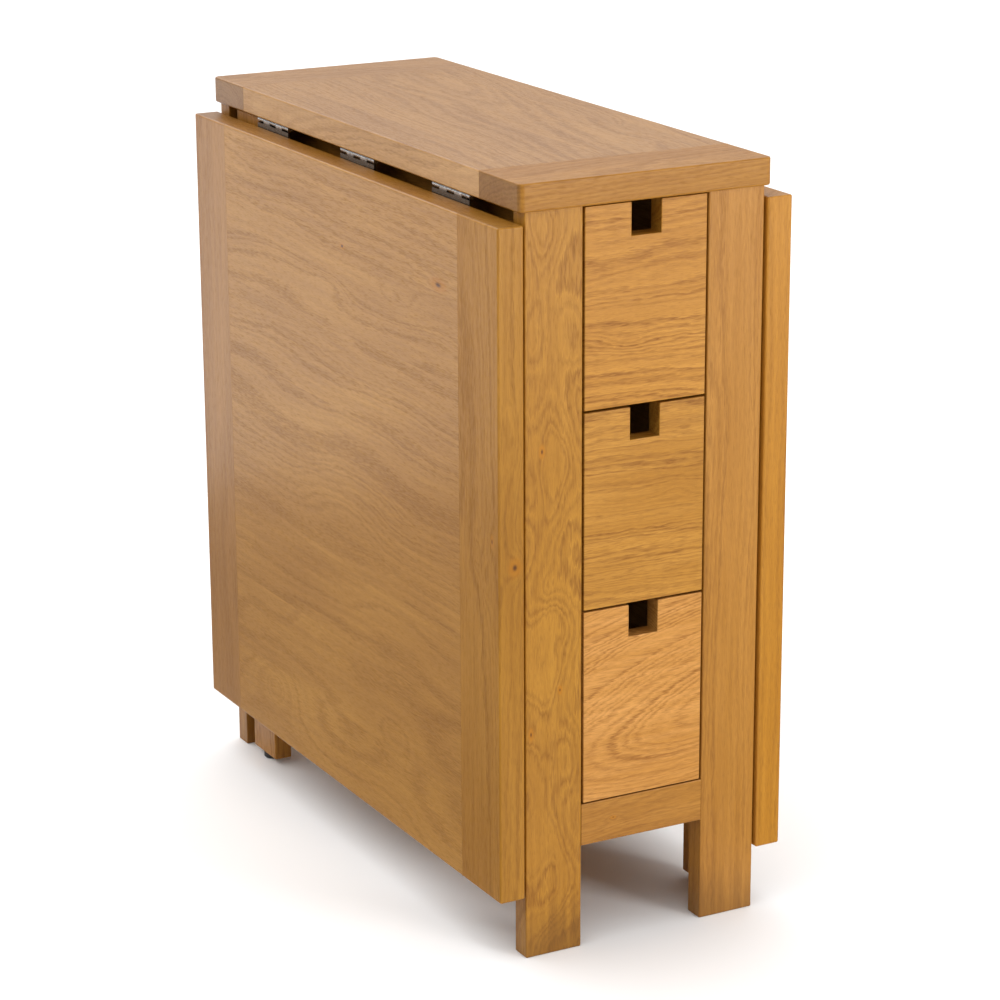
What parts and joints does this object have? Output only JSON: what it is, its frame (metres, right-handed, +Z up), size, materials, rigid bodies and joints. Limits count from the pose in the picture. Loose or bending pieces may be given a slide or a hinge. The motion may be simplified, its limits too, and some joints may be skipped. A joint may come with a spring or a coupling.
{
  "type": "gateleg table",
  "caption": "Narrow oak gateleg table with two hanging drop leaves, stacked drawers in one end and a folding gate behind each leaf.",
  "frame": {"origin": "on the floor, below the middle of the top, with both leaves hanging", "axes": "+Z up, -Y towards the end with the drawers, leaves hanging at -X and +X"},
  "size_m": [0.316, 0.685, 0.76],
  "materials": {
    "oak": "satin lacquered honey oak",
    "drawer_front_oak": "satin lacquered pale oak",
    "drawer_box": "plain pale wood",
    "steel": "zinc plated",
    "black_glide": "moulded"
  },
  "bodies": {
    "table_frame": {"top_center_board": "oak", "top_front_board": "oak", "top_back_board": "oak", "leg_front_left": "oak", "leg_front_right": "oak", "leg_back_left": "oak", "leg_back_right": "oak", "front_rail": "oak", "back_lower_rail": "oak", "back_upper_rail": "oak", "back_panel": "oak", "case_side_left": "oak", "case_side_right": "oak", "case_floor": "drawer_box", "lower_rail_left": "oak", "lower_rail_right": "oak", "upper_rail_left": "oak", "upper_rail_right": "oak", "drawer_runners": "drawer_box", "drawer_stops": "drawer_box", "gate_pivot_blocks": "oak", "gate_pivot_pins": "steel", "gate_left_stile": "oak", "gate_left_free_leg": "oak", "gate_left_upper_rail": "oak", "gate_left_lower_rail": "oak", "gate_left_glide": "black_glide", "gate_right_stile": "oak", "gate_right_free_leg": "oak", "gate_right_upper_rail": "oak", "gate_right_lower_rail": "oak", "gate_right_glide": "black_glide", "slab_flaps_left": "steel", "slab_flaps_right": "steel", "slab_hinge_screws": "steel"},
    "left_leaf": {"leaf_left_center_board": "oak", "leaf_left_front_board": "oak", "leaf_left_back_board": "oak", "leaf_left_flaps": "steel", "leaf_left_hinge_pins": "steel", "leaf_left_screws": "steel"},
    "right_leaf": {"leaf_right_center_board": "oak", "leaf_right_front_board": "oak", "leaf_right_back_board": "oak", "leaf_right_flaps": "steel", "leaf_right_hinge_pins": "steel", "leaf_right_screws": "steel"},
    "upper_drawer": {"upper_drawer_front": "drawer_front_oak", "upper_drawer_sides": "drawer_box", "upper_drawer_back": "drawer_box", "upper_drawer_base": "drawer_box"},
    "middle_drawer": {"middle_drawer_front": "drawer_front_oak", "middle_drawer_sides": "drawer_box", "middle_drawer_back": "drawer_box", "middle_drawer_base": "drawer_box"},
    "lower_drawer": {"lower_drawer_front": "drawer_front_oak", "lower_drawer_sides": "drawer_box", "lower_drawer_back": "drawer_box", "lower_drawer_base": "drawer_box"}
  },
  "joints": [
    {"name": "left_leaf_hinge", "type": "hinge", "parent": "table_frame", "child": "left_leaf", "pos_m": [-0.128, 0, 0.73], "axis": [0, 1, 0], "range_deg": [0, 90]},
    {"name": "right_leaf_hinge", "type": "hinge", "parent": "table_frame", "child": "right_leaf", "pos_m": [0.128, 0, 0.73], "axis": [0, -1, 0], "range_deg": [0, 90]},
    {"name": "upper_drawer_slide", "type": "slide", "parent": "table_frame", "child": "upper_drawer", "axis": [0, -1, 0], "range_m": [0, 0.34]},
    {"name": "middle_drawer_slide", "type": "slide", "parent": "table_frame", "child": "middle_drawer", "axis": [0, -1, 0], "range_m": [0, 0.34]},
    {"name": "lower_drawer_slide", "type": "slide", "parent": "table_frame", "child": "lower_drawer", "axis": [0, -1, 0], "range_m": [0, 0.34]}
  ]
}
